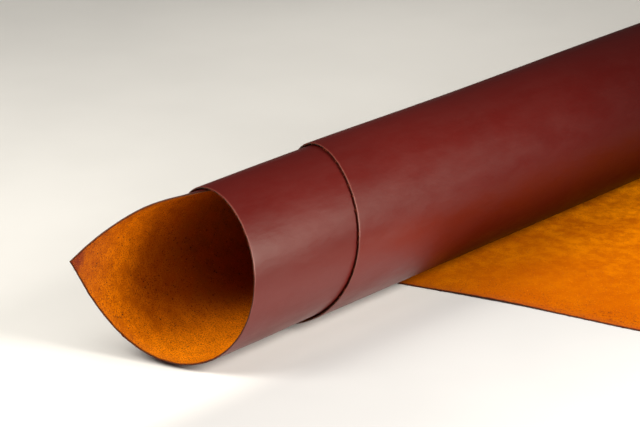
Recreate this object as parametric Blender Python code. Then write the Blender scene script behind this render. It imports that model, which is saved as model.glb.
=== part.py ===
"""A rolled leather hide.

One sheet of leather lies flesh side up with its outer end flat on the floor. The rest of it is wound
into an open roll, flesh side inwards, along the Y direction. The roll was wound askew: at every turn
the side edge of the sheet lies about two roll radii nearer to the mouth, which faces -Y, and the
inner corner of the sheet stands out of that mouth as a pointed tongue.

Two kinds of places are used. On the flat cut, `along` runs inwards along the winding from the line
where the sheet leaves the floor (the flat tail has negative values), and `across` runs along the
roll. In space, the roll's axis is parallel to Y and the floor is z = 0.
"""

import math
from typing import NamedTuple

import bmesh
import bpy
import numpy as np

MM = 0.001
FULL_TURN = 2 * math.pi

# The leather and the roll
THICKNESS = 1.2 * MM
ROLL_RADIUS = 60 * MM  # the grain side, where the sheet leaves the floor
TURN_PITCH = 2.26 * MM  # what the radius loses in one turn: the leather and the air over it
TURNS_TO_TIP = 2.2925  # from the floor to the pointed inner corner
TURNS_TO_END = 2.72  # from the floor to the innermost edge
TAIL_LENGTH = 300 * MM


class Place(NamedTuple):
    """A place on the flat cut, in metres."""

    along: float
    across: float


# The side edge at the roll's mouth, and the one at its far end
MOUTH_EDGE = (
    Place(along=-300 * MM, across=68 * MM),
    Place(along=-200 * MM, across=47 * MM),
    Place(along=-100 * MM, across=27 * MM),
    Place(along=0 * MM, across=0 * MM),
    Place(along=150 * MM, across=-47 * MM),
    Place(along=220 * MM, across=-75 * MM),
    Place(along=300 * MM, across=-98 * MM),
    Place(along=380 * MM, across=-119.5 * MM),
    Place(along=500 * MM, across=-157.5 * MM),
    Place(along=600 * MM, across=-187 * MM),
    Place(along=680 * MM, across=-205.5 * MM),
    Place(along=740 * MM, across=-220 * MM),
    Place(along=795 * MM, across=-238 * MM),
    Place(along=818 * MM, across=-250 * MM),
    Place(along=827 * MM, across=-256.5 * MM),
)
FAR_EDGE = (
    Place(along=-300 * MM, across=541 * MM),
    Place(along=-140 * MM, across=556 * MM),
    Place(along=100 * MM, across=561 * MM),
    Place(along=400 * MM, across=547 * MM),
    Place(along=700 * MM, across=529 * MM),
    Place(along=980 * MM, across=507 * MM),
)
CORNER_RADIUS = 28 * MM  # of the tail's two corners
TAIL_END_BULGE = 9 * MM  # how far the middle of the tail's end stands past its corners
BULGE_POWER = 4  # how quickly the bulge fades away from the end

# The inner end of the sheet slants away from the tip, then turns along the roll
END_SLANT = 1.5  # how far it goes across for each step along
END_RISE = 120 * MM  # what the slanted end gains as it turns
END_RISE_POWER = 8  # how late it turns

# The free tongue springs open a little where the turn outside no longer holds it
FLARE = 3.5 * MM
FLARE_FROM = 1.6 * FULL_TURN  # the angle round the roll from which it opens
FLARE_ONSET = 50 * MM  # the length over which the flare sets in

# The sheet is a little uneven: soft hollows round the roll, and a tail that doesn't lie quite flat
HOLLOW_DEPTH = 0.35 * MM
HOLLOW_LENGTH = 330 * MM
EDGE_LIFT = 0.8 * MM
EDGE_LIFT_AT = 85 * MM  # from the line where the sheet leaves the floor
EDGE_LIFT_LENGTH = 60 * MM
EDGE_LIFT_DEPTH = 75 * MM
END_CURL = 5 * MM
END_CURL_LENGTH = 90 * MM

# How finely the solid is divided
STEPS_TO_TIP = 115
STEPS_TO_END = 21  # from the tip
CORNER_STEPS = 6
TAIL_STEPS = 9
ROWS = 14

GRAIN_COLOUR = (0.098, 0.012, 0.012, 1.0)
GRAIN_ROUGHNESS = 0.42


def edge_across(edge, along):
    """Where a side edge lies at this place: a smooth curve of cubic Hermite spans through its rows."""
    alongs = np.array([place.along for place in edge])
    acrosses = np.array([place.across for place in edge])
    slopes = np.gradient(acrosses, alongs)
    i = int(np.clip(np.searchsorted(alongs, along) - 1, 0, len(alongs) - 2))
    span = alongs[i + 1] - alongs[i]
    t = (along - alongs[i]) / span
    return (
        (1 + 2 * t) * (1 - t) ** 2 * acrosses[i]
        + t * (1 - t) ** 2 * span * slopes[i]
        + t * t * (3 - 2 * t) * acrosses[i + 1]
        + t * t * (t - 1) * span * slopes[i + 1]
    )


def smooth_step(value):
    """0 below 0, 1 above 1, and a soft rise between."""
    t = min(max(value, 0.0), 1.0)
    return t * t * (3 - 2 * t)


def along_at(angle):
    """The winding's length from the floor to an angle round the roll, measured on the grain side."""
    return ROLL_RADIUS * angle - TURN_PITCH * angle**2 / (2 * FULL_TURN)


TIP_ANGLE = TURNS_TO_TIP * FULL_TURN
TIP_ALONG = along_at(TIP_ANGLE)
END_ANGLE = TURNS_TO_END * FULL_TURN
END_ALONG = along_at(END_ANGLE)


def corner_cut(along):
    """How much a rounded tail corner takes off the side edge at this place."""
    inside = min(along + TAIL_LENGTH, CORNER_RADIUS)
    return CORNER_RADIUS - math.sqrt(CORNER_RADIUS**2 - (CORNER_RADIUS - inside) ** 2)


def mouth_side(along):
    """Where the sheet begins at the roll's mouth: its side edge, and past the tip its slanting end."""
    if along <= TIP_ALONG:
        return edge_across(MOUTH_EDGE, along) + corner_cut(along)
    past_tip = along - TIP_ALONG
    rise = END_RISE * (past_tip / (END_ALONG - TIP_ALONG)) ** END_RISE_POWER
    return edge_across(MOUTH_EDGE, TIP_ALONG) + END_SLANT * past_tip + rise


def far_side(along):
    """Where the sheet ends at the roll's far end."""
    return edge_across(FAR_EDGE, along) - corner_cut(along)


def flare(angle, across):
    """How far the free tongue stands out from the winding, past the edge of the turn outside it."""
    if angle <= FLARE_FROM:
        return 0.0
    free = edge_across(MOUTH_EDGE, along_at(angle - FULL_TURN)) - across
    opened = min((angle - FLARE_FROM) / (TIP_ANGLE - FLARE_FROM), 1.0)
    return FLARE * opened**2 * smooth_step(free / FLARE_ONSET)


def hollows(angle, across):
    """Soft hollows and swellings round the roll, the same for every turn and none at the floor."""
    wave = math.sin(FULL_TURN * across / HOLLOW_LENGTH + angle)
    slow = math.cos(FULL_TURN * across / (2 * HOLLOW_LENGTH) - 2 * angle)
    return HOLLOW_DEPTH * (wave + slow) * math.sin(angle / 2) ** 2


def tail_height(distance, across):
    """How high the grain side of the tail stands over the floor: a lifted edge and a curled end."""
    from_edge = across - edge_across(MOUTH_EDGE, -distance)
    from_middle = abs(distance - EDGE_LIFT_AT)
    lift = smooth_step(1 - from_middle / EDGE_LIFT_LENGTH)
    lift *= smooth_step(1 - from_edge / EDGE_LIFT_DEPTH) ** 2
    curl = smooth_step((distance - TAIL_LENGTH + END_CURL_LENGTH) / END_CURL_LENGTH)
    return EDGE_LIFT * lift + END_CURL * curl**2


def tail_point(along, share, across):
    """A grain-side point of the flat tail. Its end bulges outwards between its corners."""
    bulge = TAIL_END_BULGE * math.sin(math.pi * share) * (along / TAIL_LENGTH) ** BULGE_POWER
    distance = -along
    return (distance + bulge, across, tail_height(distance, across))


def roll_point(angle, across):
    """A grain-side point of the roll. The angle runs from the floor, up the far side, over the top."""
    radius = ROLL_RADIUS - TURN_PITCH * angle / FULL_TURN
    radius += hollows(angle, across) + flare(angle, across)
    return (-radius * math.sin(angle), across, ROLL_RADIUS - radius * math.cos(angle))


def tail_places():
    """The places along the tail that the solid has points at, close together at its round corners."""
    corner = [
        -TAIL_LENGTH + CORNER_RADIUS * (1 - math.cos(math.pi / 2 * i / CORNER_STEPS))
        for i in range(CORNER_STEPS)
    ]
    rest = np.linspace(CORNER_RADIUS - TAIL_LENGTH, 0, TAIL_STEPS, endpoint=False)
    return corner + list(rest)


def roll_angles():
    """The angles round the roll that the solid has points at, one of them at the tip."""
    to_tip = np.linspace(0, TIP_ANGLE, STEPS_TO_TIP + 1)
    to_end = np.linspace(TIP_ANGLE, END_ANGLE, STEPS_TO_END + 1)
    return np.concatenate([to_tip, to_end[1:]])


def grain_side():
    """The grain side as columns of points, from the tail's end inwards."""
    columns = []
    for along in tail_places():
        acrosses = np.linspace(mouth_side(along), far_side(along), ROWS + 1)
        shares = np.linspace(0, 1, ROWS + 1)
        columns.append([tail_point(along, s, a) for s, a in zip(shares, acrosses)])
    for angle in roll_angles():
        along = along_at(angle)
        acrosses = np.linspace(mouth_side(along), far_side(along), ROWS + 1)
        columns.append([roll_point(angle, a) for a in acrosses])
    return np.array(columns)


def centred(columns):
    """The same points with the origin under the middle of the object."""
    low, high = columns.min(axis=(0, 1)), columns.max(axis=(0, 1))
    middle = (low + high) / 2
    return columns - np.array([middle[0], middle[1], low[2]])


def sheet_mesh(columns):
    """A mesh over the columns of points, its faces pointing out of the grain side."""
    mesh = bmesh.new()
    points = [[mesh.verts.new(point) for point in column] for column in columns]
    for outer, inner in zip(points, points[1:]):
        for row in range(ROWS):
            mesh.faces.new((outer[row], inner[row], inner[row + 1], outer[row + 1]))
    made = bpy.data.meshes.new("hide")
    mesh.to_mesh(made)
    mesh.free()
    return made


def leather():
    """Burgundy leather with a soft waxed shine."""
    material = bpy.data.materials.new("burgundy_leather")
    material.use_nodes = True
    shader = material.node_tree.nodes["Principled BSDF"]
    shader.inputs["Base Color"].default_value = GRAIN_COLOUR
    shader.inputs["Roughness"].default_value = GRAIN_ROUGHNESS
    shader.inputs["Metallic"].default_value = 0.0
    return material


def make_hide():
    """The whole hide: its grain side, thickened towards the flesh side."""
    hide = bpy.data.objects.new("hide", sheet_mesh(centred(grain_side())))
    bpy.context.scene.collection.objects.link(hide)
    hide.data.materials.append(leather())
    hide.data.shade_smooth()
    solidify = hide.modifiers.new("thickness", "SOLIDIFY")
    solidify.thickness = THICKNESS
    solidify.offset = -1
    solidify.use_even_offset = True
    return hide


def main():
    for obj in list(bpy.data.objects):
        bpy.data.objects.remove(obj, do_unlink=True)
    make_hide()


main()
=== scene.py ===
"""The looks of a rolled leather hide: its wound sheet, the nap of its flesh side and a plain studio.

It is laid out as an add-on, and runs as a script. Each piece has an operator, and its sizes and
colours are properties that the panel lists.
"""

import math
from collections import namedtuple

import bpy
import numpy as np
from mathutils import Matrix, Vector


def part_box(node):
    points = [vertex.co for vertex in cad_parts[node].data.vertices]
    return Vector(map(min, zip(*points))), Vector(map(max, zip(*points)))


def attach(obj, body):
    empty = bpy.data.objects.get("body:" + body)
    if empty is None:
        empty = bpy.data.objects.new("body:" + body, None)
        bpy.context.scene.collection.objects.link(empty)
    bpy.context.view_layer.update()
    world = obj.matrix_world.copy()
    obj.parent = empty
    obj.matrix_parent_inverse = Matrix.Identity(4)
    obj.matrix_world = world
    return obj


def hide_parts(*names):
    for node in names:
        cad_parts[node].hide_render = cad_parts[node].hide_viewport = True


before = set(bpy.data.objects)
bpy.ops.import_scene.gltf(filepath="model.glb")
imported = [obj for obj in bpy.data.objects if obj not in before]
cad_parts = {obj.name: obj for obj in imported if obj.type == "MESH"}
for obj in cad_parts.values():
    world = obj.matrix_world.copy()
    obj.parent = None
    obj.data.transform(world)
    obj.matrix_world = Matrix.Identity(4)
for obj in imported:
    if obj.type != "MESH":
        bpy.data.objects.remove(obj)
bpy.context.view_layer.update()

bl_info = {
    "name": "Rolled leather hide",
    "version": (1, 0, 0),
    "blender": (4, 5, 0),
    "location": "3D View > Sidebar > Leather hide",
    "description": "Makes a rolled leather hide with its nap and cut edges, and a plain studio",
    "category": "Mesh",
}

MM = 0.001
FULL_TURN = 2 * math.pi
BODY = "root"
NODE = "hide"

# The side edges of the flat cut in millimetres: along the winding, inwards from the line where the
# sheet leaves the floor, and across, along the roll
MOUTH_EDGE = (
    (-300, 68), (-200, 47), (-100, 27), (0, 0), (150, -47),
    (220, -75), (300, -98), (380, -119.5), (500, -157.5), (600, -187),
    (680, -205.5), (740, -220), (795, -238), (818, -250), (827, -256.5),
)
FAR_EDGE = ((-300, 541), (-140, 556), (100, 561), (400, 547), (700, 529), (980, 507))


# ------------------------ sizes and colours


def length(name, description, default):
    """A size in metres that a user may change."""
    return bpy.props.FloatProperty(
        name=name, description=description, default=default, subtype="DISTANCE", unit="LENGTH",
        precision=5,
    )


def colour(name, description, default):
    """A colour that a user may change."""
    return bpy.props.FloatVectorProperty(
        name=name, description=description, default=default, subtype="COLOR", size=3, min=0, max=1,
    )


def number(name, description, default):
    """A whole number that a user may change."""
    return bpy.props.IntProperty(name=name, description=description, default=default, min=0)


def factor(name, description, default, most=1.0):
    """A share, or a number of turns, that a user may change."""
    return bpy.props.FloatProperty(
        name=name, description=description, default=default, min=0, max=most, subtype="FACTOR",
    )


def power(name, description, default):
    """A light's power in watts that a user may change."""
    return bpy.props.FloatProperty(
        name=name, description=description, default=default, min=0, unit="POWER",
    )


class HideSizes(bpy.types.PropertyGroup):
    """The sheet's real sizes, the same as the solid's."""

    thickness: length("Thickness", "How thick the leather is", 1.2 * MM)
    roll_radius: length("Roll radius", "Grain side of the outermost turn", 60 * MM)
    turn_pitch: length("Turn pitch", "What the radius loses in one turn", 2.26 * MM)
    turns_to_tip: factor("Turns to tip", "From the floor to the pointed inner corner", 2.2925, 9)
    turns_to_end: factor("Turns to end", "From the floor to the innermost edge", 2.72, 9)
    tail_length: length("Tail length", "The flat part of the sheet", 300 * MM)
    corner_radius: length("Corner radius", "Of the tail's two corners", 28 * MM)
    column_step: length("Column step", "Between the mesh's lines along the roll", 3 * MM)
    row_step: length("Row step", "Between the mesh's lines round the roll", 10 * MM)


class HideColours(bpy.types.PropertyGroup):
    """The leather's colours."""

    grain: colour("Grain", "Burgundy of the waxed grain side", (0.081, 0.003, 0.0018))
    # Deep grain: the dye's darker clouds and fine grain, and also the painted shade on top of the roll
    grain_deep_and_shaded: colour("Deep grain", "Where the dye lies thickest", (0.04, 0.0015, 0.001))
    # Painted light: the grain painted paler low on the roll before the flat end, where light from the
    # floor falls
    grain_lit_low: colour("Fresh grain", "Low on the roll before the flat end", (0.105, 0.005, 0.003))
    # Painted shade: dark, dull grain under the roll where it dips towards the flat end
    grain_nip_shade: colour("Nip", "Dull dark grain that dips towards the flat end", (0.016, 0.0005, 0.0003))
    shine: colour("Shine", "Warm tint of the wax's reflections", (1.0, 0.98, 0.91))
    # Rim: rubbed paler along the roll's stepped edge, and partly a painted highlight there
    rim: colour("Rim", "Grain side where its cut edge is rubbed paler", (0.14, 0.028, 0.02))
    flesh: colour("Flesh", "Orange tan of the flesh side", (0.7, 0.182, 0.0012))
    # Painted light: the bottom inside the mouth painted brighter where light falls on it
    flesh_lit_bottom: colour("Bright flesh", "Flesh side at the bottom of the mouth", (0.92, 0.265, 0.003))
    # Painted light: the tail's flesh is painted pale far from the mouth and brown near it, as light
    # falls brighter away from the mouth
    flesh_pale: colour("Pale flesh", "Flat end's flesh side, far from the mouth", (0.76, 0.228, 0.0006))
    flesh_brown: colour("Brown flesh", "Flat end's flesh side, near the mouth", (0.4, 0.095, 0.0004))
    # Deep flesh: the flesh side's darker clouds, and the painted shade in the tail's corner by the roll
    flesh_deep_and_shade: colour("Deep flesh", "Its darker clouds", (0.34, 0.066, 0.0006))
    # Specks: dark fibres and pits of the flesh side, and the painted shade deep inside the mouth
    speck_and_mouth_shade: colour("Specks", "Dark fibres and pits of the flesh side", (0.06, 0.02, 0.007))
    freckle: colour("Freckles", "Red-brown specks near the tip and the cut edge", (0.17, 0.03, 0.003))
    stain: colour("Dye stain", "Edge dye that crept into the flesh side", (0.175, 0.03, 0.013))
    edge: colour("Cut edge", "Dyed and burnished cut edge", (0.022, 0.008, 0.005))


class HideFibres(bpy.types.PropertyGroup):
    """The loose fibres."""

    mouth_count: number("Fibres at the mouth", "On the tongue and inside the roll", 19000)
    tail_count: number("Fibres on the tail", "On the flat end", 12000)
    edge_count: number("Edge fibres", "Along the cut edge", 4200)
    longest: length("Longest fibre", "Length of the longest fibres of the nap", 1.5 * MM)


class HideStudio(bpy.types.PropertyGroup):
    """The camera, the lights and the floor."""

    lens: bpy.props.FloatProperty(
        name="Lens", description="Focal length", default=156.49, subtype="DISTANCE_CAMERA",
    )
    key: power("Key light", "Low softbox beside the tail", 13.0)
    left: power("Left light", "Softbox before the mouth, on its left", 16.2)
    top: power("Top light", "Softbox over the roll", 3.8)
    front: power("Front light", "Softbox high before the mouth", 3.4)
    back: power("Back light", "Softbox over the floor behind the roll", 2.4)
    floor: colour("Floor", "Pale floor round the roll", (0.8, 0.795, 0.785))
    # Painted light: the floor behind the roll is painted brighter
    floor_lit_behind: colour("Floor behind", "Brighter floor behind the roll", (0.97, 0.96, 0.945))
    # Painted shadow: the floor on the tail's side is painted darker
    floor_shadow_beside: colour("Floor beside", "Floor on the tail's side", (0.46, 0.462, 0.475))


# ------------------------ the sheet's shape


def smooth_step(value):
    """0 below 0, 1 above 1, and the cubic t * t * (3 - 2 t) between."""
    t = np.clip(value, 0, 1)
    return t * t * (3 - 2 * t)


def edge_across(edge, along):
    """Where a side edge lies: cubic Hermite spans through its rows, with the slopes of np.gradient."""
    alongs, acrosses = np.array(edge, float).T * MM
    slopes = np.gradient(acrosses, alongs)
    i = np.clip(np.searchsorted(alongs, along) - 1, 0, len(alongs) - 2)
    span = alongs[i + 1] - alongs[i]
    t = (along - alongs[i]) / span
    return (
        (1 + 2 * t) * (1 - t) ** 2 * acrosses[i]
        + t * (1 - t) ** 2 * span * slopes[i]
        + t * t * (3 - 2 * t) * acrosses[i + 1]
        + t * t * (t - 1) * span * slopes[i + 1]
    )


def waves(at, lengths, seed):
    """A smooth random line from -1 to 1: sines of these wave lengths with random phases."""
    phases = np.random.default_rng(seed).uniform(0, FULL_TURN, len(lengths))
    parts = [np.sin(FULL_TURN * at / wave + phase) for wave, phase in zip(lengths, phases)]
    return np.mean(parts, axis=0)


class Winding:
    """The sheet's shape as functions of two places on its flat cut, along and across."""

    # The slanting inner end: how far it goes across for each step along, and what it gains as it turns
    end_slant = 1.5
    end_rise = 120 * MM
    end_rise_power = 8
    # The middle of the tail's end stands past its corners
    bulge = 9 * MM
    bulge_power = 4
    # The free tongue springs open from an angle round the roll
    flare = 3.5 * MM
    flare_from = 1.6 * FULL_TURN
    flare_onset = 50 * MM
    # Soft hollows round the roll
    hollow_depth = 0.35 * MM
    hollow_length = 330 * MM
    # A lifted stretch of the tail's edge, and its curled end
    edge_lift = 0.8 * MM
    edge_lift_at = 85 * MM
    edge_lift_length = 60 * MM
    edge_lift_depth = 75 * MM
    end_curl = 5 * MM
    end_curl_length = 90 * MM

    def __init__(self, sizes):
        self.thickness = sizes.thickness
        self.radius = sizes.roll_radius
        self.pitch = sizes.turn_pitch
        self.tail = sizes.tail_length
        self.corner = sizes.corner_radius
        self.tip_angle = sizes.turns_to_tip * FULL_TURN
        self.tip_along = self.along_at(self.tip_angle)
        self.end_along = self.along_at(sizes.turns_to_end * FULL_TURN)

    def along_at(self, angle):
        """The winding's length up to an angle: radius * angle less the pitch's share."""
        return self.radius * angle - self.pitch * angle**2 / (2 * FULL_TURN)

    def angle_at(self, along):
        """The angle round the roll at a place, the inverse of along_at."""
        root = np.sqrt(self.radius**2 - 2 * self.pitch * np.maximum(along, 0) / FULL_TURN)
        return (self.radius - root) * FULL_TURN / self.pitch

    def corner_cut(self, along):
        """What a rounded tail corner takes off the side edge: a quarter circle."""
        inside = np.minimum(along + self.tail, self.corner)
        return self.corner - np.sqrt(self.corner**2 - (self.corner - inside) ** 2)

    def mouth_side(self, along):
        """Where the sheet begins at the mouth: its side edge, and past the tip its slanting end."""
        side = edge_across(MOUTH_EDGE, np.minimum(along, self.tip_along))
        past_tip = np.maximum(along - self.tip_along, 0)
        share = past_tip / (self.end_along - self.tip_along)
        rise = self.end_slant * past_tip + self.end_rise * share**self.end_rise_power
        return side + rise + self.corner_cut(along)

    def far_side(self, along):
        """Where the sheet ends at the roll's far end."""
        return edge_across(FAR_EDGE, along) - self.corner_cut(along)

    def uneven(self, angle, across):
        """What is added to the spiral's radius: soft hollows, and the tongue that springs open."""
        wave = np.sin(FULL_TURN * across / self.hollow_length + angle)
        slow = np.cos(FULL_TURN * across / (2 * self.hollow_length) - 2 * angle)
        hollow = self.hollow_depth * (wave + slow) * np.sin(angle / 2) ** 2
        free = edge_across(MOUTH_EDGE, self.along_at(angle - FULL_TURN)) - across
        opened = np.clip((angle - self.flare_from) / (self.tip_angle - self.flare_from), 0, 1)
        return hollow + self.flare * opened**2 * smooth_step(free / self.flare_onset)

    def tail_height(self, distance, across):
        """How high the tail's grain side stands: a lifted stretch of edge and a curled end."""
        from_edge = across - edge_across(MOUTH_EDGE, -distance)
        lift = smooth_step(1 - abs(distance - self.edge_lift_at) / self.edge_lift_length)
        lift = lift * smooth_step(1 - from_edge / self.edge_lift_depth) ** 2
        curl = smooth_step((distance - self.tail + self.end_curl_length) / self.end_curl_length)
        return self.edge_lift * lift + self.end_curl * curl**2

    def grain(self, along, across):
        """Grain-side points: a spiral extruded along Y, and a flat tail that leaves it at z = 0."""
        angle = self.angle_at(along)
        radius = self.radius - self.pitch * angle / FULL_TURN + self.uneven(angle, across)
        near, far = self.mouth_side(along), self.far_side(along)
        share = np.clip((across - near) / (far - near), 0, 1)
        shape = np.sin(math.pi * share)
        bulge = self.bulge * shape * (np.minimum(along, 0) / self.tail) ** self.bulge_power
        distance = np.maximum(-along, 0)
        on_tail = along < 0
        x = np.where(on_tail, distance + bulge, -radius * np.sin(angle))
        z = np.where(
            on_tail, self.tail_height(distance, across), self.radius - radius * np.cos(angle)
        )
        return np.stack([x, across + 0 * along, z], axis=-1)


CORNER_LINES = 22  # of the mesh, in each round corner of the tail
TAIL_LINES = 36
BEFORE_TIP = 9 * MM  # where the even lines end
TIP_LINES = (-6, -3.6, -2, -1, -0.4, 0, 0.4, 1, 2, 3.6)  # finer ones, in millimetres from the tip
PAST_TIP = 6 * MM  # where the even lines go on


def spaced(low, high, step, first=0.12 * MM, growth=1.7):
    """Places from low to high: fine at both ends, each gap `growth` times the last, up to the step."""
    gaps = []
    gap = first
    while gap < step:
        gaps.append(gap)
        gap *= growth
    ends = np.cumsum(gaps)
    middle = high - low - 2 * ends[-1]
    count = max(1, round(middle / step))
    inner = np.linspace(low + ends[-1], high - ends[-1], count + 1)
    return np.concatenate([[low], low + ends[:-1], inner, high - ends[:-1][::-1], [high]])


def column_places(winding, step):
    """The mesh's places along the sheet: fine at both ends, at the round corners and at the tip."""
    corner = winding.corner * (1 - np.cos(np.linspace(0, math.pi / 2, CORNER_LINES)))
    tail = np.linspace(winding.corner, winding.tail, TAIL_LINES, endpoint=False)[1:]
    to_tip = np.linspace(0, winding.tip_along - BEFORE_TIP, round(winding.tip_along / step))
    near_tip = winding.tip_along + MM * np.array(TIP_LINES)
    to_end = spaced(winding.tip_along + PAST_TIP, winding.end_along, step)
    return np.concatenate([corner - winding.tail, tail - winding.tail, to_tip, near_tip, to_end])


def unit(vectors):
    """The same vectors, each with a length of 1."""
    return vectors / np.maximum(np.linalg.norm(vectors, axis=-1, keepdims=True), 1e-12)


def outward(points):
    """The grain side's outward direction at each point of its grid: the cross of its two lines."""
    inwards = np.gradient(points, axis=0)
    across = np.gradient(points, axis=1)
    return unit(np.cross(inwards, across))


def rim(columns, rows):
    """The grid's boundary as (column, row) numbers, once round."""
    c, r = np.arange(columns - 1), np.arange(rows - 1)
    sides = (
        (0 * r, r),
        (c, 0 * c + rows - 1),
        (0 * r + columns - 1, rows - 1 - r),
        (columns - 1 - c, 0 * c),
    )
    return np.concatenate([np.stack(side, axis=1) for side in sides])


def grid_faces(columns, rows, start=0):
    """The four corners of each cell of a grid whose vertices are numbered row by row."""
    c, r = np.meshgrid(np.arange(columns - 1), np.arange(rows - 1), indexing="ij")
    at = (start + c * rows + r).ravel()
    return np.stack([at, at + rows, at + rows + 1, at + 1], axis=1)


def mesh_object(name, points, faces, materials, material_of_face=None):
    """A smooth-shaded mesh object with its place in its mesh."""
    mesh = bpy.data.meshes.new(name)
    sides = faces.shape[1]
    mesh.vertices.add(len(points))
    mesh.vertices.foreach_set("co", points.astype(np.float32).ravel())
    mesh.loops.add(faces.size)
    mesh.loops.foreach_set("vertex_index", faces.astype(np.int32).ravel())
    mesh.polygons.add(len(faces))
    mesh.polygons.foreach_set("loop_start", np.arange(0, faces.size, sides, dtype=np.int32))
    for material in materials:
        mesh.materials.append(material)
    if material_of_face is not None:
        mesh.polygons.foreach_set("material_index", material_of_face.astype(np.int32))
    mesh.update(calc_edges=True)
    mesh.validate()
    mesh.shade_smooth()
    made = bpy.data.objects.new(name, mesh)
    bpy.context.scene.collection.objects.link(made)
    return made


def add_values(made, name, values):
    """A number or a vector for each vertex, for the materials to read."""
    kind, field = ("FLOAT", "value") if values.ndim == 1 else ("FLOAT_VECTOR", "vector")
    attribute = made.data.attributes.new(name, kind, "POINT")
    attribute.data.foreach_set(field, values.astype(np.float32).ravel())


MOUTH_WAVER = 0.2 * MM  # how far the cut edge wavers from its line, at the mouth
MOUTH_WAVES = (7 * MM, 9 * MM, 13 * MM)
FAR_WAVER = 0.12 * MM
FAR_WAVES = (5 * MM, 9 * MM, 16 * MM)
USUAL_WIDTH = 700 * MM  # of the sheet, which turns the gap between two rows into a share of it
FIRST_ROW = 0.00016  # the share of the width between the edge and the first row


def sheet_grid(winding, sizes):
    """The places along and across of every point of the mesh's grid. The cut edge wavers a little."""
    along = column_places(winding, sizes.column_step)
    near = winding.mouth_side(along) + MOUTH_WAVER * waves(along, MOUTH_WAVES, seed=1)
    far = winding.far_side(along) + FAR_WAVER * waves(along, FAR_WAVES, seed=2)
    offsets = spaced(0, 1, sizes.row_step / USUAL_WIDTH, first=FIRST_ROW, growth=1.8)
    across = near[:, None] + (far - near)[:, None] * offsets[None, :]
    return np.broadcast_to(along[:, None], across.shape), across


RIM_WIDTH = 1.0 * MM  # of the grain side's rounded rim, along the sheet
RIM_DEPTH = 0.36 * MM
FLESH_ROUND = 0.2 * MM
EDGE_RINGS = (0.08, 0.5, 0.92)  # where the cut edge is divided, from the grain to the flesh side
EDGE_BULGE = 0.03 * MM


def inside_edge(winding, along, across):
    """How far each grid point lies inside the sheet's rim: the nearest of its four sides.

    The distance from a slanting side is the distance along its row / sqrt(1 + slope * slope).
    """
    near, far = across[:, :1], across[:, -1:]
    slope = np.gradient(near[:, 0], along[:, 0])[:, None]
    return np.minimum.reduce([
        (across - near) / np.sqrt(1 + slope**2), far - across,
        along + winding.tail, winding.end_along - along])


def rounded(inside, width, depth):
    """What a rounded rim takes off: depth * (1 - sqrt(1 - t * t)), with t = 1 - inside / width."""
    t = np.clip(1 - inside / width, 0, 1)[..., None]
    return depth * (1 - np.sqrt(1 - t * t))


def wound_sheet(winding, sizes):
    """All points of the closed sheet: grain grid, flesh grid, and the cut edge between them."""
    along, across = sheet_grid(winding, sizes)
    middle = winding.grain(along, across)
    normal = outward(middle)
    inside = inside_edge(winding, along, across)
    grain = middle - normal * rounded(inside, RIM_WIDTH, RIM_DEPTH)
    flesh = middle - normal * (winding.thickness - rounded(inside, FLESH_ROUND, FLESH_ROUND))
    loop = rim(*along.shape)
    at = (loop[:, 0], loop[:, 1])
    tangent = unit(np.roll(middle[at], -1, axis=0) - np.roll(middle[at], 1, axis=0))
    away = unit(np.cross(tangent, normal[at]))
    edge = [
        grain[at] * (1 - share) + flesh[at] * share + EDGE_BULGE * math.sin(math.pi * share) * away
        for share in EDGE_RINGS
    ]
    return along, across, inside, grain, flesh, np.array(edge), loop


def sheet_faces(columns, rows, loop, rings):
    """Faces of the grain grid, the flesh grid turned over, and the strip of rings round the rim."""
    half = columns * rows
    grain = grid_faces(columns, rows)
    flesh = grid_faces(columns, rows, half)[:, ::-1]
    first = loop[:, 0] * rows + loop[:, 1]
    strips = [first, *(2 * half + len(loop) * np.arange(rings)[:, None] + np.arange(len(loop)))]
    strips = np.array([*strips, first + half])
    a, b = strips[:-1], strips[1:]
    edge = np.stack([a, np.roll(a, -1, axis=1), np.roll(b, -1, axis=1), b], axis=-1).reshape(-1, 4)
    return grain, flesh, edge


def on_sheet(values, loop, rings):
    """The grid's values for every point of the sheet: both sides, and each ring of the cut edge."""
    side = values.reshape(-1, *values.shape[2:])
    ring = values[loop[:, 0], loop[:, 1]]
    return np.concatenate([side, side, *[ring] * rings])


# The inside of the mouth is painted dark, as shade, away from a line on the flat cut. For each metre
# outwards along the winding, the line lies MOUTH_LEAN farther from the mouth than the tip does. From
# MOUTH_BOW_FROM before the tip and inwards, it lies farther still, by MOUTH_BOW times the square of
# that distance
MOUTH_LEAN = 0.36
MOUTH_BOW = 16.0
MOUTH_BOW_FROM = 37 * MM


def mouth_depth(winding, along, across):
    """How far inside the mouth a place lies, measured across the sheet from that line."""
    past_tip = along - winding.tip_along
    depth = across - winding.mouth_side(along).min() + MOUTH_LEAN * past_tip
    return depth - MOUTH_BOW * np.maximum(past_tip + MOUTH_BOW_FROM, 0) ** 2


def into_frame(points, grain):
    """The same points moved so that the sheet's box is the solid's box."""
    low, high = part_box(NODE)
    size_low = grain.reshape(-1, 3).min(axis=0)
    size_high = grain.reshape(-1, 3).max(axis=0)
    middle = (np.array(low) + np.array(high)) / 2 - (size_low + size_high) / 2
    return points + np.array([middle[0], middle[1], low[2]])


# ------------------------ fibres


NAP_SEED = 7
BURR_SEED = 11
FIBRE_SIDES = 3
FIBRE_POINTS = 2 * FIBRE_SIDES + 1  # two rings and a tip

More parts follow.
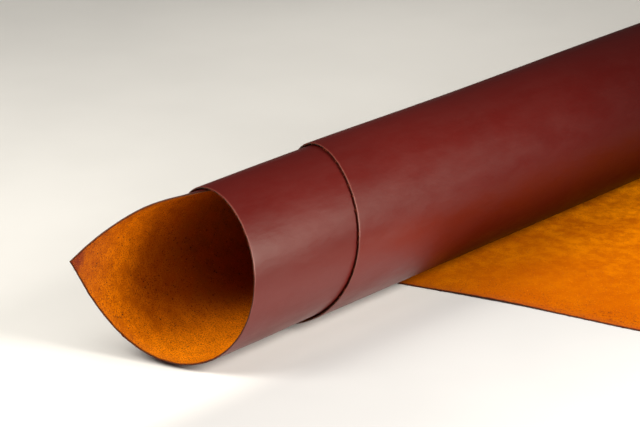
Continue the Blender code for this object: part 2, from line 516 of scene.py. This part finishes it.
NAP_RADIUS = 0.11 * MM
NAP_SUNK = 0.03 * MM  # how deep the nap's roots lie in the leather
BARE_FROM = 1.25 * FULL_TURN  # the angle round the roll from which the mouth has nap
COVER_GAP = 3 * MM  # the bare strip before the edge of the turn inside it
TAIL_CLEAR = 10 * MM  # how far from the roll's foot the tail's nap starts
TAIL_END_GAP = 3 * MM
MOUTH_REACH = 70 * MM  # how quickly the nap thins out away from the mouth's edge
TAIL_REACH = 160 * MM
EDGE_GAP = 0.6 * MM  # the bare strip along the edge
TAIL_NAP_SHARE = 0.7  # how long the tail's nap is, as a share of the mouth's

TUFT = 26  # fibres in a tuft of the cut edge
TUFT_SPREAD = 0.35 * MM
BURR_RADIUS = 0.1 * MM
BURR_SUNK = 0.1 * MM
SHORTEST_BURR = 0.4 * MM
LONGEST_BURR = 1.5 * MM
EDGE_PALEST = 0.3  # the edge fibres' palest shade: all are dyed


def surface(winding, along, across):
    """Grain points, and the directions inwards along the winding and out of the grain side there."""
    step = 0.5 * MM
    here = winding.grain(along, across)
    inwards = unit(winding.grain(along + step, across) - here)
    beside = unit(winding.grain(along, across + step) - here)
    return here, inwards, unit(np.cross(inwards, beside))


def uncovered(winding, along, across):
    """Where no inner turn lies on the flesh side, and where the tail is clear of the roll's foot."""
    inner = winding.along_at(winding.angle_at(along) + FULL_TURN)
    bare = (inner > winding.end_along) | (across < winding.mouth_side(inner) - COVER_GAP)
    return np.where(along < 0, along < -TAIL_CLEAR, bare)


def nap_places(winding, count, low, high, reach, seed):
    """Random bare places along the sheet from low to high, denser near the mouth's edge.

    The distance from the edge is drawn as -reach * log(1 - share), which thins out away from it.
    """
    rng = np.random.default_rng(seed)
    along = rng.uniform(low, high, 4 * count)
    inside = EDGE_GAP - reach * np.log(1 - rng.random(4 * count))
    across = winding.mouth_side(along) + inside
    fits = (across < winding.far_side(along) - MM) & uncovered(winding, along, across)
    return along[fits][:count], across[fits][:count]


def fibre_mesh(root, ahead, up, length, radius, lift, bend):
    """Curved fibres: two rings of three points and a tip, along a bow that rises and turns aside.

    From the root, the middle is at length / 2 * (ahead + lift * up), and the tip is at length *
    (ahead turned by the bend + lift / 2 * up). The middle ring is 0.75 as wide as the root's.
    """
    side = unit(np.cross(up, ahead))
    lift, bend = lift[:, None], bend[:, None]
    middle = root + length[:, None] / 2 * (ahead + lift * up)
    turned = np.cos(bend) * ahead + np.sin(bend) * side
    tip = root + length[:, None] * (turned + lift / 2 * up)
    turn = FULL_TURN * np.arange(FIBRE_SIDES) / FIBRE_SIDES
    ring = np.cos(turn)[:, None, None] * side + np.sin(turn)[:, None, None] * up
    ring = ring * radius[:, None]
    points = np.concatenate([root + ring, middle + 0.75 * ring, tip[None]]).transpose(1, 0, 2)
    a = np.arange(FIBRE_SIDES)
    b = (a + 1) % FIBRE_SIDES
    top_a, top_b = a + FIBRE_SIDES, b + FIBRE_SIDES
    sides = [np.stack([a, b, top_b], 1), np.stack([a, top_b, top_a], 1)]
    ends = [np.stack([top_a, top_b, 0 * a + 2 * FIBRE_SIDES], 1), a[None, ::-1]]
    one = np.concatenate(sides + ends)
    faces = one[None] + FIBRE_POINTS * np.arange(len(root))[:, None, None]
    return points.reshape(-1, 3), faces.reshape(-1, 3)


def nap(winding, along, across, longest, seed):
    """Short fibres that lie nearly flat on the flesh side, pointing every way."""
    rng = np.random.default_rng(seed)
    count = len(along)
    grain, inwards, outwards = surface(winding, along, across)
    up = -outwards
    root = grain + up * (winding.thickness - NAP_SUNK)
    turn = rng.uniform(0, FULL_TURN, count)[:, None]
    ahead = np.cos(turn) * inwards + np.sin(turn) * np.cross(up, inwards)
    length = longest * rng.uniform(0.35, 1, count)
    radius = NAP_RADIUS * rng.uniform(0.6, 1, count)
    lift = rng.uniform(0.05, 0.35, count)
    return fibre_mesh(root, ahead, up, length, radius, lift, rng.normal(0, 0.6, count))


def tufts(winding, count):
    """Places along the mouth's edge: tufts about random middles, with a normal spread."""
    rng = np.random.default_rng(BURR_SEED + 1)
    middles = rng.uniform(2 * MM - winding.tail, winding.tip_along - 2 * MM, count // TUFT)
    return np.repeat(middles, TUFT) + rng.normal(0, TUFT_SPREAD, TUFT * (count // TUFT))


def burrs(winding, along, seed):
    """Loose fibres that stick out of the cut edge at these places along it.

    Each points away from the edge plus a random share of the direction along it. Its length grows
    with the square of a random number, so most are short.
    """
    rng = np.random.default_rng(seed)
    count = len(along)
    across = winding.mouth_side(along)
    grain, inwards, outwards = surface(winding, along, across)
    ahead_edge = unit(np.cross(inwards, outwards))
    depth = winding.thickness * rng.uniform(0.35, 0.98, count)[:, None]
    root = grain - outwards * depth - ahead_edge * BURR_SUNK
    aside = rng.normal(0, 0.9, count)[:, None] * inwards
    ahead = unit(ahead_edge + aside - rng.uniform(-0.2, 0.5, count)[:, None] * outwards)
    up = unit(np.cross(ahead, inwards))
    length = SHORTEST_BURR + (LONGEST_BURR - SHORTEST_BURR) * rng.random(count) ** 2
    radius = BURR_RADIUS * rng.uniform(0.6, 1, count)
    lift = rng.normal(0, 0.3, count)
    return fibre_mesh(root, ahead, up, length, radius, lift, rng.normal(0, 0.7, count))


# ------------------------ materials

MEAN_RADIUS = 58.5 * MM  # what turns a place along the sheet into an angle round the roll
PALEST_AT = 1.7 * math.pi  # the angle round the roll where the grain is painted palest: painted light

# Stretches of the flat cut over which the colours change. These run along the winding, from the line
# where the sheet leaves the floor
NEAR_ROLL = (-80 * MM, -30 * MM)  # the tail's last stretch before the roll, painted paler as light
ONTO_TAIL = (100 * MM, -20 * MM)  # the roll's flesh colours pass into the tail's
ROLL_BEGINS = (20 * MM, 60 * MM)  # the tail's edge passes into the roll's stepped edge
NIP_ALONG = (256 * MM, 346 * MM)  # painted shade on the low side of the roll that dips towards the tail
TONGUE_BEGINS = (670 * MM, 700 * MM)  # the stepped edge passes into the edge of the free tongue
TONGUE_SOAKED = (700 * MM, 760 * MM)  # the dye soaks farther in from the tongue's edge
MOUTH_BOTTOM = 728 * MM  # the lowest line inside the mouth, painted lit
# These run across it, along the roll
TO_MOUTH = (340 * MM, -20 * MM)  # the grain grows paler towards the mouth
BEFORE_TAIL = (20 * MM, -50 * MM)  # past the tail's edge, towards the mouth
NIP_ACROSS = (-30 * MM, 60 * MM)  # from the tail's edge on
TAIL_PALES = (50 * MM, 260 * MM)  # the tail's flesh goes from brown to pale: painted light, brighter away from the mouth

# How often each pattern repeats in a metre of leather
GRAIN_CLOUDS = 9
SWELLS = 45
POLISH = 70
CREASES = 620
FINE_GRAIN = 1400
PORES = 1700
RIM_WEAR = 400
FLESH_CLOUDS = 24
PATCHES = 60
STREAKS = 110
DYE_FRONT = 160
FLECKS = 620
LARGE_PITS = 700
FLESH_FIBRE = 900
FRECKLES = 950
SMALL_PITS = 1500
EDGE_FIBRE = 1600

SWELL_STRETCH = (1.0, 0.4, 1.0)  # swells and polish are longer across the sheet than along it


def new_material(name):
    """A node material, its tree and its shader."""
    material = bpy.data.materials.new(name)
    material.use_nodes = True
    tree = material.node_tree
    shader = tree.nodes["Principled BSDF"]
    return material, tree, shader


def set_inputs(tree, made, inputs):
    """Link or set a node's inputs, by name or number."""
    for key, value in inputs.items():
        if isinstance(value, bpy.types.NodeSocket):
            tree.links.new(value, made.inputs[key])
        else:
            made.inputs[key].default_value = value


def node(tree, kind, inputs=(), **settings):
    """One shader node, with settings by attribute and inputs by name or number."""
    made = tree.nodes.new("ShaderNode" + kind)
    for key, value in settings.items():
        setattr(made, key, value)
    set_inputs(tree, made, dict(inputs))
    return made


def noise(tree, where, scale, detail=2.0, roughness=0.5):
    """Cloudy noise, from 0 to 1."""
    made = node(tree, "TexNoise", {"Vector": where, "Scale": scale, "Detail": detail,
                                   "Roughness": roughness})
    return made.outputs["Fac"]


def ramp(tree, value, low, high, to_low=0.0, to_high=1.0):
    """A soft rise or fall from to_low, where the value is low, to to_high, where it is high."""
    made = node(tree, "MapRange", {"Value": value, "From Min": low, "From Max": high,
                                   "To Min": to_low, "To Max": to_high},
                interpolation_type="SMOOTHSTEP")
    return made.outputs["Result"]


def maths(tree, operation, a, b=0.0):
    """One sum or comparison."""
    return node(tree, "Math", {0: a, 1: b}, operation=operation).outputs[0]


def times(tree, a, b):
    """a * b."""
    return maths(tree, "MULTIPLY", a, b)


def plus(tree, a, b):
    """a + b."""
    return maths(tree, "ADD", a, b)


def minus(tree, a, b):
    """a - b."""
    return maths(tree, "SUBTRACT", a, b)


def larger(tree, a, b):
    """The larger of a and b."""
    return maths(tree, "MAXIMUM", a, b)


def mix(tree, share, a, b):
    """A colour between a and b: a where the share is 0, and b where it is 1."""
    a, b = [end if isinstance(end, bpy.types.NodeSocket) else (*end, 1.0) for end in (a, b)]
    return node(tree, "Mix", {0: share, 6: a, 7: b}, data_type="RGBA").outputs[2]


def bump(tree, height, strength, distance, below=None):
    """A bump of this height at most, in metres, on the relief below it."""
    inputs = {"Height": height, "Strength": strength, "Distance": distance}
    if below is not None:
        inputs["Normal"] = below
    return node(tree, "Bump", inputs).outputs["Normal"]


def attribute(tree, name, output="Fac"):
    """What the sheet's mesh says at each point."""
    return node(tree, "Attribute", attribute_name=name).outputs[output]


def cut_place(tree):
    """The place on the flat cut, and its two parts along and across."""
    where = attribute(tree, "cut_place", "Vector")
    along, across, _ = node(tree, "SeparateXYZ", {0: where}).outputs
    return where, along, across


def specks(tree, where, cells, share, size):
    """Round dark specks: this share of the cells of a Voronoi pattern have one, up to this size."""
    pattern = node(tree, "TexVoronoi", {"Vector": where, "Scale": cells}, feature="F1")
    pick = node(tree, "SeparateColor", {"Color": pattern.outputs["Color"]})
    radius = ramp(tree, pick.outputs[0], 1 - share, 1, 0, size)
    inside = minus(tree, radius, pattern.outputs["Distance"])
    return ramp(tree, inside, 0, 0.1)


def grain_material(colours):
    """Waxed burgundy grain: even dye, fine pores and creases, a soft shine and a rim rubbed paler and
    partly painted as a highlight.

    Round the roll, the colour and the shine follow a sine of the angle that is 1 at PALEST_AT. In the
    colour this is painted light: darker on top of the roll, paler low on it.
    """
    material, tree, shader = new_material("grain_side")
    where, along, across = cut_place(tree)
    clouds = ramp(tree, noise(tree, where, GRAIN_CLOUDS, 3), 0.3, 0.7, 0.75, 1)
    # The share of paler grain: the dye's real clouds, paler towards the mouth, and painted light that
    # follows the sine round the roll
    paler_dye_and_light = times(tree, clouds, ramp(tree, across, *TO_MOUTH))
    turned = times(tree, along, 1 / MEAN_RADIUS)
    # A sine round the roll for painted light: low on top, 1 at PALEST_AT low on the roll
    wave = maths(tree, "SINE", minus(tree, turned, PALEST_AT - math.pi / 2))
    paler_dye_and_light = times(tree, paler_dye_and_light, ramp(tree, wave, -0.6, 0.3, 0.72, 1))
    tone = mix(tree, paler_dye_and_light, colours.grain_deep_and_shaded, colours.grain)
    # Painted light: paler grain low on the roll, before the tail's edge
    lit_low = times(tree, ramp(tree, wave, 0.5, 0.95), ramp(tree, across, *BEFORE_TAIL))
    tone = mix(tree, lit_low, tone, colours.grain_lit_low)
    fine = noise(tree, where, FINE_GRAIN, 3)
    tone = mix(tree, ramp(tree, fine, 0.5, 0.75, 0, 0.3), tone, colours.grain_deep_and_shaded)
    # Painted shade on the low side of the roll that dips towards the tail
    nip_shade = times(tree, ramp(tree, along, *NIP_ALONG), ramp(tree, across, *NIP_ACROSS))
    tone = mix(tree, nip_shade, tone, colours.grain_nip_shade)
    uneven = times(tree, minus(tree, noise(tree, where, RIM_WEAR, 3), 0.5), MM)
    from_edge = plus(tree, attribute(tree, "from_edge"), uneven)
    at_rim = ramp(tree, from_edge, 0.4 * MM, 1.1 * MM, 0.85, 0)
    # Along the roll's stepped edge the rim is rubbed paler and partly painted as a highlight; on the
    # tail and the tongue it keeps the dark edge colour
    rubbed_and_lit = times(tree, ramp(tree, along, *ROLL_BEGINS), ramp(tree, along, *TONGUE_BEGINS[::-1]))
    tone = mix(tree, at_rim, tone, mix(tree, rubbed_and_lit, colours.edge, colours.rim))
    stretch = node(tree, "VectorMath", {0: where, 1: SWELL_STRETCH}, operation="MULTIPLY")
    stretched = stretch.outputs[0]
    set_inputs(tree, shader, {
        "Base Color": tone,
        "Roughness": ramp(tree, noise(tree, stretched, POLISH, 5, 0.6), 0.3, 0.7, 0.4, 0.5),
        "Specular IOR Level": grain_shine(tree, across, lit_low, wave, nip_shade, at_rim, rubbed_and_lit),
        "Specular Tint": (*colours.shine, 1.0),
        "Normal": grain_relief(tree, where, stretched, fine),
    })
    return material


def grain_shine(tree, across, lit_low, wave, nip_shade, at_rim, rubbed_and_lit):
    """The wax's shine: more low on the roll where the grain is painted lit, less on the far side, in
    the painted shade of the nip and on the rim.
    """
    dyed_rim = times(tree, at_rim, minus(tree, 1, rubbed_and_lit))
    shine = ramp(tree, across, 0, 240 * MM, 0.42, 0.27)
    for place, low, high, at_low, at_high in (
        (lit_low, 0, 1, 1, 1.5),
        (wave, -0.9, -0.2, 0.5, 1),
        (nip_shade, 0, 0.6, 1, 0.25),
        (at_rim, 0, 0.9, 1, 0.85),
        (dyed_rim, 0, 0.9, 1, 0.3),
    ):
        shine = times(tree, shine, ramp(tree, place, low, high, at_low, at_high))
    return shine


def grain_relief(tree, where, stretched, fine):
    """The grain's relief: long soft swells, then pores, a net of creases and the finest grain."""
    pores = node(tree, "TexVoronoi", {"Vector": where, "Scale": PORES}, feature="F1")
    creases = node(tree, "TexVoronoi", {"Vector": where, "Scale": CREASES},
                   feature="DISTANCE_TO_EDGE")
    relief = bump(tree, noise(tree, stretched, SWELLS, 4, 0.5), 1, 0.8 * MM)
    relief = bump(tree, pores.outputs["Distance"], 0.12, 0.06 * MM, relief)
    relief = bump(tree, ramp(tree, creases.outputs["Distance"], 0, 0.2), 0.1, 0.08 * MM, relief)
    return bump(tree, fine, 0.12, 0.05 * MM, relief)


# What the layers of the flesh side's colour share
Flesh = namedtuple("Flesh", "tree colours where along across from_edge from_tip on_tail fibre")


def flesh_ground(at):
    """Orange tongue with a painted lit bottom and painted shade deep inside the mouth, a tail painted
    from brown to pale as light and paler by the roll, and clouds.
    """
    tree, colours = at.tree, at.colours
    clouds = ramp(tree, noise(tree, at.where, FLESH_CLOUDS, 5, 0.6), 0.35, 0.65)
    streaks = ramp(tree, noise(tree, at.where, STREAKS, 5, 0.65), 0.4, 0.6)
    # Painted light: the bottom inside the mouth is painted brighter
    from_bottom = maths(tree, "ABSOLUTE", minus(tree, at.along, MOUTH_BOTTOM))
    bottom = ramp(tree, from_bottom, 44 * MM, 8 * MM)
    tongue = mix(tree, bottom, colours.flesh, colours.flesh_lit_bottom)
    # Painted shade deep inside the mouth, away from its painted lit bottom
    painted_mouth_shade = ramp(tree, attribute(tree, "depth"), 30 * MM, 115 * MM, 0, 0.78)
    inside = times(tree, painted_mouth_shade, minus(tree, 1, bottom))
    tongue = mix(tree, inside, tongue, colours.speck_and_mouth_shade)
    # Painted light: the tail painted paler away from the mouth
    away = ramp(tree, at.across, *TAIL_PALES)
    # Painted light: the tail painted paler just before the roll, where the roll's shadow falls
    lit_near_roll = ramp(tree, at.along, *NEAR_ROLL, 0, 0.45)
    tail = mix(tree, larger(tree, away, lit_near_roll), colours.flesh_brown, colours.flesh_pale)
    mottled = times(tree, minus(tree, 1, clouds), 0.34)
    tail = mix(tree, mottled, tail, colours.flesh_deep_and_shade)
    ground = mix(tree, at.on_tail, tongue, tail)
    pale = plus(tree, times(tree, clouds, 0.35), times(tree, streaks, 0.45))
    # Where the bottom is painted lit, its dark clouds are fainter
    clear = times(tree, bottom, ramp(tree, at.along, 100 * MM, 500 * MM))
    deep = times(tree, minus(tree, 0.8, pale), ramp(tree, clear, 0, 1, 1, 0.45))
    return mix(tree, deep, ground, colours.flesh_deep_and_shade)


def flesh_specks(at, ground):
    """Dark fibres and pits, freckles towards the tip, and flecks towards the tail's edge."""
    tree, colours = at.tree, at.colours
    near_edge = ramp(tree, at.from_edge, 60 * MM, 8 * MM)
    rough = larger(tree, near_edge, ramp(tree, at.along, -100 * MM, 100 * MM, 0.3, 1))
    grainy = times(tree, ramp(tree, at.fibre, 0.52, 0.4, 0, 0.8), rough)
    ground = mix(tree, grainy, ground, colours.flesh_deep_and_shade)
    small = specks(tree, at.where, SMALL_PITS, 0.3, 0.6)
    large = specks(tree, at.where, LARGE_PITS, 0.12, 0.5)
    patches = ramp(tree, noise(tree, at.where, PATCHES, 3), 0.35, 0.6, 0.4, 1)
    pits = times(tree, larger(tree, small, large), patches)
    ground = mix(tree, times(tree, pits, rough), ground, colours.speck_and_mouth_shade)
    to_tip = ramp(tree, at.from_tip, 100 * MM, 20 * MM, 0.25, 0.9)
    freckles = times(tree, specks(tree, at.where, FRECKLES, 0.5, 0.5), to_tip)
    freckles = times(tree, freckles, ramp(tree, at.along, 500 * MM, 600 * MM))
    ground = mix(tree, freckles, ground, colours.freckle)
    to_edge = ramp(tree, at.from_edge, 35 * MM, 6 * MM, 0, 1)
    flecks = times(tree, specks(tree, at.where, FLECKS, 0.6, 0.6), to_edge)
    flecks = times(tree, flecks, patches)
    flecks = times(tree, flecks, ramp(tree, at.along, -50 * MM, -130 * MM))
    return mix(tree, flecks, ground, colours.freckle)


def flesh_dye(at, ground):
    """The tail's corner by the roll darkened as painted shade, and the dye that crept in from the cut
    edge and the tip.
    """
    tree, colours = at.tree, at.colours
    # Painted shade in the tail's corner under the roll
    from_corner = larger(tree, at.across, times(tree, at.along, -1.0))
    corner = times(tree, ramp(tree, from_corner, 55 * MM, 10 * MM, 0, 0.75), at.on_tail)
    ground = mix(tree, corner, ground, colours.flesh_deep_and_shade)
    uneven = times(tree, minus(tree, noise(tree, at.where, DYE_FRONT, 3), 0.5), 6 * MM)
    from_edge = plus(tree, at.from_edge, uneven)
    stain = ramp(tree, from_edge, 0, 2.2 * MM, 0.7, 0)
    wash = ramp(tree, from_edge, 0, 12 * MM, 0.25, 0)
    stain = larger(tree, stain, wash)
    tip = ramp(tree, plus(tree, at.from_tip, uneven), 8 * MM, 22 * MM, 1, 0)
    tip = larger(tree, tip, ramp(tree, at.from_tip, 10 * MM, 58 * MM, 0.5, 0))
    ground = mix(tree, larger(tree, stain, tip), ground, colours.stain)
    reach = plus(tree, at.from_edge, times(tree, uneven, 0.15))
    line = ramp(tree, reach, 0.1 * MM, 0.5 * MM, 0.8, 0)
    band = ramp(tree, reach, 0.5 * MM, 1.1 * MM, 0.85, 0)
    on_tongue = times(tree, band, ramp(tree, at.along, *TONGUE_SOAKED))
    return mix(tree, larger(tree, line, on_tongue), ground, colours.edge)


def flesh_material(colours):
    """Orange flesh side: clouds, dark specks, and dye that crept in from the cut edge."""
    material, tree, shader = new_material("flesh_side")
    where, along, across = cut_place(tree)
    from_edge, from_tip = attribute(tree, "from_edge"), attribute(tree, "from_tip")
    on_tail = ramp(tree, along, *ONTO_TAIL)
    fibre = noise(tree, where, FLESH_FIBRE, 4, 0.65)
    at = Flesh(tree, colours, where, along, across, from_edge, from_tip, on_tail, fibre)
    ground = flesh_dye(at, flesh_specks(at, flesh_ground(at)))
    relief = bump(tree, fibre, 0.5, 0.3 * MM)
    set_inputs(tree, shader, {
        "Base Color": ground, "Roughness": 0.95, "Specular IOR Level": 0.0, "Normal": relief})
    return material


def edge_material(colours):
    """Cut edge: dark dyed fibres in layers, less dyed on the flesh side of the tongue and tail."""
    material, tree, shader = new_material("cut_edge")
    place = node(tree, "TexCoord").outputs["Object"]
    fibre = noise(tree, place, EDGE_FIBRE, 4, 0.6)
    tone = mix(tree, ramp(tree, fibre, 0.35, 0.7), colours.edge, colours.speck_and_mouth_shade)
    _, along, _ = cut_place(tree)
    on_tongue = ramp(tree, along, *TONGUE_BEGINS, 0, 0.4)
    on_tail = ramp(tree, along, *ROLL_BEGINS[::-1], 0, 0.4)
    to_flesh = ramp(tree, attribute(tree, "through"), 0.35, 0.7)
    undyed = times(tree, to_flesh, larger(tree, on_tongue, on_tail))
    tone = mix(tree, undyed, tone, colours.flesh_deep_and_shade)
    relief = bump(tree, fibre, 0.4, 0.15 * MM)
    set_inputs(tree, shader, {
        "Base Color": tone, "Roughness": 0.6, "Specular IOR Level": 0.2, "Normal": relief})
    return material


def nap_material(colours):
    """Loose fibres: each has a shade of its own, from dark dyed to pale orange."""
    material, tree, shader = new_material("nap_fibre")
    pale = ramp(tree, attribute(tree, "shade"), 0.35, 0.6)
    tone = mix(tree, pale, colours.stain, colours.flesh)
    set_inputs(tree, shader, {
        "Base Color": tone, "Roughness": 0.9, "Specular IOR Level": 0.1})
    return material


# ------------------------ operators


def finish_piece(made):
    """Hang a piece on its body's empty and hide the solid of the hide's node, whose place it takes."""
    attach(made, BODY)
    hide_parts(NODE)


class HIDE_OT_sheet(bpy.types.Operator):
    """Make the wound sheet of leather, with its grain side, flesh side and cut edge"""

    bl_idname = "hide.sheet"
    bl_label = "Wound sheet"

    def execute(self, context):
        sizes, colours = context.scene.hide_sizes, context.scene.hide_colours
        winding = Winding(sizes)
        along, across, inside, grain, flesh, edge, loop = wound_sheet(winding, sizes)
        rings = len(edge)
        points = np.concatenate([part.reshape(-1, 3) for part in (grain, flesh, edge)])
        points = into_frame(points, grain)
        faces = sheet_faces(*along.shape, loop, rings)
        slots = np.repeat([0, 1, 2], [len(part) for part in faces])
        materials = (grain_material(colours), flesh_material(colours), edge_material(colours))
        made = mesh_object("rolled_hide", points, np.concatenate(faces), materials, slots)
        tip_across = winding.mouth_side(along)[np.argmin(across[:, 0]), 0]
        for name, values in (
            ("cut_place", np.stack([along, across, 0 * along], axis=-1)),
            ("from_edge", inside),
            ("from_tip", np.hypot(along - winding.tip_along, across - tip_across)),
            ("depth", mouth_depth(winding, along, across)),
        ):
            add_values(made, name, on_sheet(values, loop, rings))
        through = np.repeat([0.0, 1.0], inside.size), np.repeat(EDGE_RINGS, len(loop))
        add_values(made, "through", np.concatenate(through))
        finish_piece(made)
        return {"FINISHED"}


class HIDE_OT_fibres(bpy.types.Operator):
    """Make the nap of the flesh side and the loose fibres of the cut edge"""

    bl_idname = "hide.fibres"
    bl_label = "Nap and loose fibres"

    def execute(self, context):
        scene = context.scene
        sizes, colours, fibres = scene.hide_sizes, scene.hide_colours, scene.hide_fibres
        winding = Winding(sizes)
        grain = winding.grain(*sheet_grid(winding, sizes))
        material = nap_material(colours)
        bare_from = winding.along_at(BARE_FROM)
        tail_from = TAIL_END_GAP - winding.tail
        mouth = nap_places(
            winding, fibres.mouth_count, bare_from, winding.end_along, MOUTH_REACH, NAP_SEED)
        mouth_nap = nap(winding, *mouth, fibres.longest, NAP_SEED)
        tail = nap_places(winding, fibres.tail_count, tail_from, 0, TAIL_REACH, NAP_SEED + 1)
        tail_nap = nap(winding, *tail, TAIL_NAP_SHARE * fibres.longest, NAP_SEED + 1)
        edge_fibres = burrs(winding, tufts(winding, fibres.edge_count), BURR_SEED)
        made = [
            self.piece(name, into_frame(points, grain), faces, material, palest)
            for name, (points, faces), palest in (
                ("mouth_nap", mouth_nap, 1.0),
                ("tail_nap", tail_nap, 1.0),
                ("edge_fibres", edge_fibres, EDGE_PALEST),
            )
        ]
        return {"FINISHED"}

    def piece(self, name, points, faces, material, palest):
        """One mesh of fibres, each with its own shade: a random number from 0 to the palest."""
        made = mesh_object(name, points, faces, (material,))
        fibres = len(points) // FIBRE_POINTS
        shades = palest * np.random.default_rng(len(points)).random(fibres)
        add_values(made, "shade", np.repeat(shades, FIBRE_POINTS))
        finish_piece(made)
        return made


# ------------------------ studio

FLOOR_SIZE = 60.0
FLOOR_CLOUDS = 6  # in a metre
BEHIND_X, BEHIND_Y = (-0.85, -0.5), (0.0, 0.4)  # over which the floor is painted brighter: painted light
BESIDE_X = (-0.108, -0.045)  # over which it turns darker as painted shadow, from the roll's foot on
BESIDE_REACH = (0.9, 0.3)  # how far along the roll the painted shadow reaches, from its front
FARTHER_X = (-0.1, 0.9)  # where it turns darker beside all of the roll, as painted shade

ROLL_FRONT = Vector((-0.12, -0.25, 0.05))
TONGUE = Vector((-0.2, -0.45, 0.05))
FLOOR_BEHIND = Vector((-1.0, 1.0, 0.0))

# The softboxes: where each stands, what it is turned to, and how wide it is, in metres
LIGHTS = {
    "key": ((0.6, -0.1, 0.46), TONGUE, 0.45),
    "left": ((-0.45, -1.1, 1.0), ROLL_FRONT, 0.65),
    "top": ((-0.12, -0.25, 1.4), ROLL_FRONT, 0.9),
    "front": ((0.22, -0.78, 1.22), ROLL_FRONT, 0.65),
    "back": ((-1.1, 1.1, 1.5), FLOOR_BEHIND, 1.2),
}
LIGHT_COLOUR = (1.0, 0.955, 0.87)
SKY_COLOUR = (1.0, 0.985, 0.96, 1)
SKY_STRENGTH = 0.06

CAMERA_PLACE = (1.0986, -1.6048, 0.753)
CAMERA_DOWN = 20.253  # in degrees, how far it looks down
CAMERA_TURN = 41.411  # in degrees, how far it is turned from +Y towards -X
SENSOR_WIDTH = 36.0  # in millimetres, as the lens is


def floor_material(studio):
    """Pale matt floor: painted light behind the roll, and painted shadow on the tail's side."""
    material, tree, shader = new_material("pale_floor")
    place = node(tree, "TexCoord").outputs["Object"]
    x, y, _ = node(tree, "SeparateXYZ", {0: place}).outputs
    # Painted light: the floor behind the roll is brighter
    behind = times(tree, ramp(tree, y, *BEHIND_Y), ramp(tree, x, *BEHIND_X))
    tone = mix(tree, behind, studio.floor, studio.floor_lit_behind)
    # Painted shadow on the floor beside the roll
    from_front = maths(tree, "ABSOLUTE", minus(tree, y, ROLL_FRONT.y))
    beside = times(tree, ramp(tree, x, *BESIDE_X), ramp(tree, from_front, *BESIDE_REACH))
    beside = larger(tree, beside, ramp(tree, x, *FARTHER_X))
    tone = mix(tree, beside, tone, studio.floor_shadow_beside)
    uneven = ramp(tree, noise(tree, place, FLOOR_CLOUDS, 3), 0.3, 0.7, 1.0, 0.96)
    tone = node(tree, "VectorMath", {0: tone, "Scale": uneven}, operation="SCALE").outputs[0]
    set_inputs(tree, shader, {"Base Color": tone, "Roughness": 0.7})
    return material


class HIDE_OT_studio(bpy.types.Operator):
    """Make the pale floor, the soft lights and the camera"""

    bl_idname = "hide.studio"
    bl_label = "Studio"

    def execute(self, context):
        studio = context.scene.hide_studio
        self.floor(floor_material(studio))
        self.camera(studio.lens)
        for name, (place, aim, size) in LIGHTS.items():
            light = self.light(name + "_light", place, aim, size, getattr(studio, name))
            light.visible_glossy = name != "back"
        world = bpy.data.worlds.new("studio")
        world.use_nodes = True
        sky = world.node_tree.nodes["Background"]
        set_inputs(world.node_tree, sky, {"Color": SKY_COLOUR, "Strength": SKY_STRENGTH})
        context.scene.world = world
        context.scene.view_settings.view_transform = "Standard"
        return {"FINISHED"}

    def floor(self, material):
        """A flat square, wide enough for every view."""
        half = FLOOR_SIZE / 2
        points = np.array([(-half, -half, 0), (half, -half, 0), (half, half, 0), (-half, half, 0)])
        floor = mesh_object("floor", points, np.array([[0, 1, 2, 3]]), (material,))

    def camera(self, lens):
        """A long lens that looks down at the mouth of the roll from its right."""
        data = bpy.data.cameras.new("camera")
        data.lens = lens
        data.sensor_width = SENSOR_WIDTH
        camera = bpy.data.objects.new("camera", data)
        camera.location = CAMERA_PLACE
        camera.rotation_euler = (math.radians(90 - CAMERA_DOWN), 0, math.radians(CAMERA_TURN))
        bpy.context.scene.collection.objects.link(camera)
        bpy.context.scene.camera = camera

    def light(self, name, place, aim, size, power):
        """A warm square softbox at a place, turned towards its aim and not seen by the camera."""
        data = bpy.data.lights.new(name, "AREA")
        data.size = size
        data.energy = power
        data.color = LIGHT_COLOUR
        light = bpy.data.objects.new(name, data)
        light.location = place
        light.rotation_euler = (Vector(place) - aim).to_track_quat("Z", "Y").to_euler()
        light.visible_camera = False
        bpy.context.scene.collection.objects.link(light)
        return light


# ------------------------ add-on

GROUPS = {
    "hide_sizes": HideSizes,
    "hide_colours": HideColours,
    "hide_fibres": HideFibres,
    "hide_studio": HideStudio,
}
OPERATORS = (HIDE_OT_sheet, HIDE_OT_fibres, HIDE_OT_studio)


class HIDE_PT_panel(bpy.types.Panel):
    """Lists the hide's pieces, sizes and colours"""

    bl_idname = "HIDE_PT_panel"
    bl_label = "Leather hide"
    bl_space_type = "VIEW_3D"
    bl_region_type = "UI"
    bl_category = "Leather hide"

    def draw(self, context):
        for operator in OPERATORS:
            self.layout.operator(operator.bl_idname)
        for name, group in GROUPS.items():
            box = self.layout.box()
            for prop in group.__annotations__:
                box.prop(getattr(context.scene, name), prop)


def register():
    """Register the classes, and give the scene its property groups."""
    for kind in (*GROUPS.values(), *OPERATORS, HIDE_PT_panel):
        bpy.utils.register_class(kind)
    for name, kind in GROUPS.items():
        setattr(bpy.types.Scene, name, bpy.props.PointerProperty(type=kind))


def unregister():
    """Take away what register added."""
    for name in GROUPS:
        delattr(bpy.types.Scene, name)
    for kind in (HIDE_PT_panel, *OPERATORS, *GROUPS.values()):
        bpy.utils.unregister_class(kind)


def main():
    """Make the hide and the studio."""
    register()
    bpy.ops.hide.sheet()
    bpy.ops.hide.fibres()
    bpy.ops.hide.studio()


if __name__ == "__main__":
    main()
